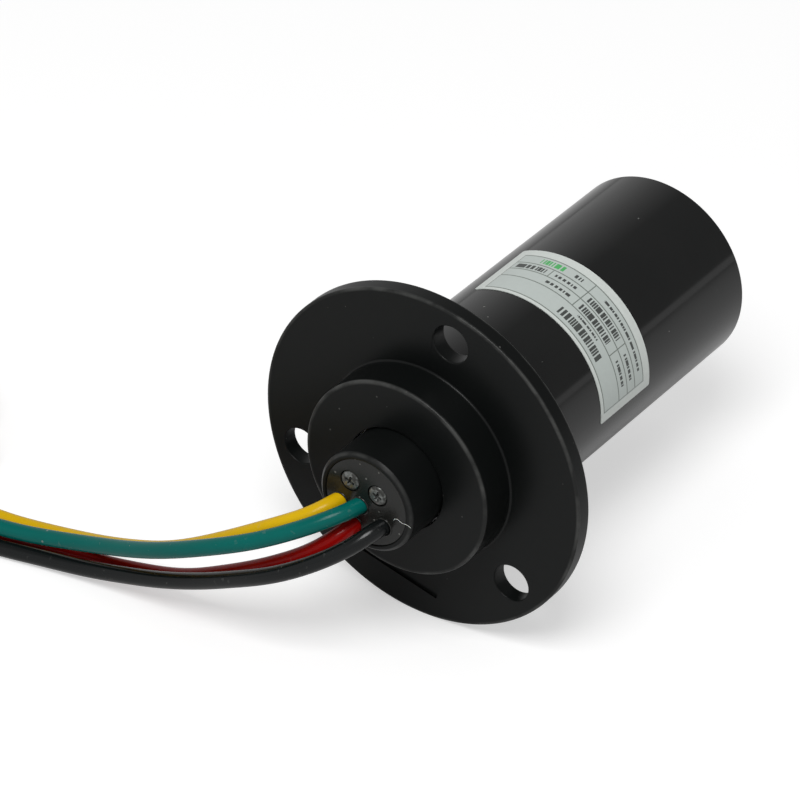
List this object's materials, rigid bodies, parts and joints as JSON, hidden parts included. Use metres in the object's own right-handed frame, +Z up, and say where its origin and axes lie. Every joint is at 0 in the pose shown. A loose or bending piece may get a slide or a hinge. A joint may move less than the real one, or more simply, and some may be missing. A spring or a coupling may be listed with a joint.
{
  "type": "slip ring",
  "caption": "Flanged capsule slip ring: a turning nozzle with coloured power leads, a round flange with bolt holes and a tubular housing.",
  "frame": {"origin": "centre of the flange's mounting face, on the shaft's axis", "axes": "+Y along the shaft towards the housing tube's rear end, the nozzle points to -Y, +Z up"},
  "size_m": [0.1384, 0.0912, 0.054],
  "materials": {
    "black_moulding": "satin moulded black plastic, finely grained",
    "gloss_black_tube": "polished black tube with soft broad reflections",
    "silver_label": "pale silver polyester label",
    "steel_screw": "zinc plated small screws",
    "dark_moulding": "dark glass-filled plastic",
    "phenolic": "brown insulating moulding",
    "spring_bronze": "thin rolled bronze strip",
    "brush_graphite": "sintered silver graphite",
    "ring_brass": "turned brass, plated",
    "bearing_steel": "ground bearing steel",
    "spring_steel": "blackened spring steel",
    "gloss_resin": "glossy dark sealing face",
    "pale_insulator": "pale insulating washers",
    "collar_aluminium": "turned aluminium",
    "dark_steel": "black oxide set screw",
    "yellow_insulation": "smooth extruded insulation",
    "green_insulation": "smooth extruded insulation",
    "red_insulation": "smooth extruded insulation",
    "black_insulation": "smooth extruded insulation",
    "nylon_tie": "natural nylon strap",
    "cage_nylon": "moulded ball cage"
  },
  "bodies": {
    "stator": {"flange_housing": "black_moulding", "housing_tube": "gloss_black_tube", "rating_label": "silver_label", "rear_cap": "black_moulding", "rear_cap_screws": "steel_screw", "bearing_plate": "dark_moulding", "brush_frame": "phenolic", "brush_springs": "spring_bronze", "brushes": "brush_graphite", "brush_rivets": "ring_brass", "front_bearing_outer": "bearing_steel", "rear_bearing_outer": "bearing_steel", "front_bearing_clip": "spring_steel"},
    "rotor": {"rotor_shaft": "black_moulding", "outlet_plate": "gloss_resin", "outlet_plate_screws": "steel_screw", "ring_core": "phenolic", "contact_rings": "ring_brass", "ring_barriers": "pale_insulator", "clamp_collar": "collar_aluminium", "collar_screw": "dark_steel", "rear_journal": "bearing_steel", "shaft_clip": "spring_steel", "journal_clip": "spring_steel", "front_bearing_inner": "bearing_steel", "rear_bearing_inner": "bearing_steel", "ring_terminals": "ring_brass", "inner_lead_yellow": "yellow_insulation", "inner_lead_green": "green_insulation", "inner_lead_red": "red_insulation", "inner_lead_black": "black_insulation", "lead_yellow": "yellow_insulation", "lead_green": "green_insulation", "lead_red": "red_insulation", "lead_black": "black_insulation", "lead_coil": "green_insulation", "coil_ties": "nylon_tie"},
    "front_cage": {"front_ball_cage": "cage_nylon", "front_balls": "bearing_steel"},
    "rear_cage": {"rear_ball_cage": "cage_nylon", "rear_balls": "bearing_steel"}
  },
  "joints": [
    {"name": "rotor_spin", "type": "hinge", "parent": "stator", "child": "rotor", "pos_m": [0, 0, 0], "axis": [0, -1, 0], "continuous": true},
    {"name": "front_cage_spin", "type": "hinge", "parent": "stator", "child": "front_cage", "pos_m": [0, 0, 0], "axis": [0, -1, 0], "continuous": true},
    {"name": "rear_cage_spin", "type": "hinge", "parent": "stator", "child": "rear_cage", "pos_m": [0, 0, 0], "axis": [0, -1, 0], "continuous": true}
  ],
  "couplings": [
    {"joint": "front_cage_spin", "follows": "rotor_spin", "ratio": 0.4231},
    {"joint": "rear_cage_spin", "follows": "rotor_spin", "ratio": 0.4}
  ]
}
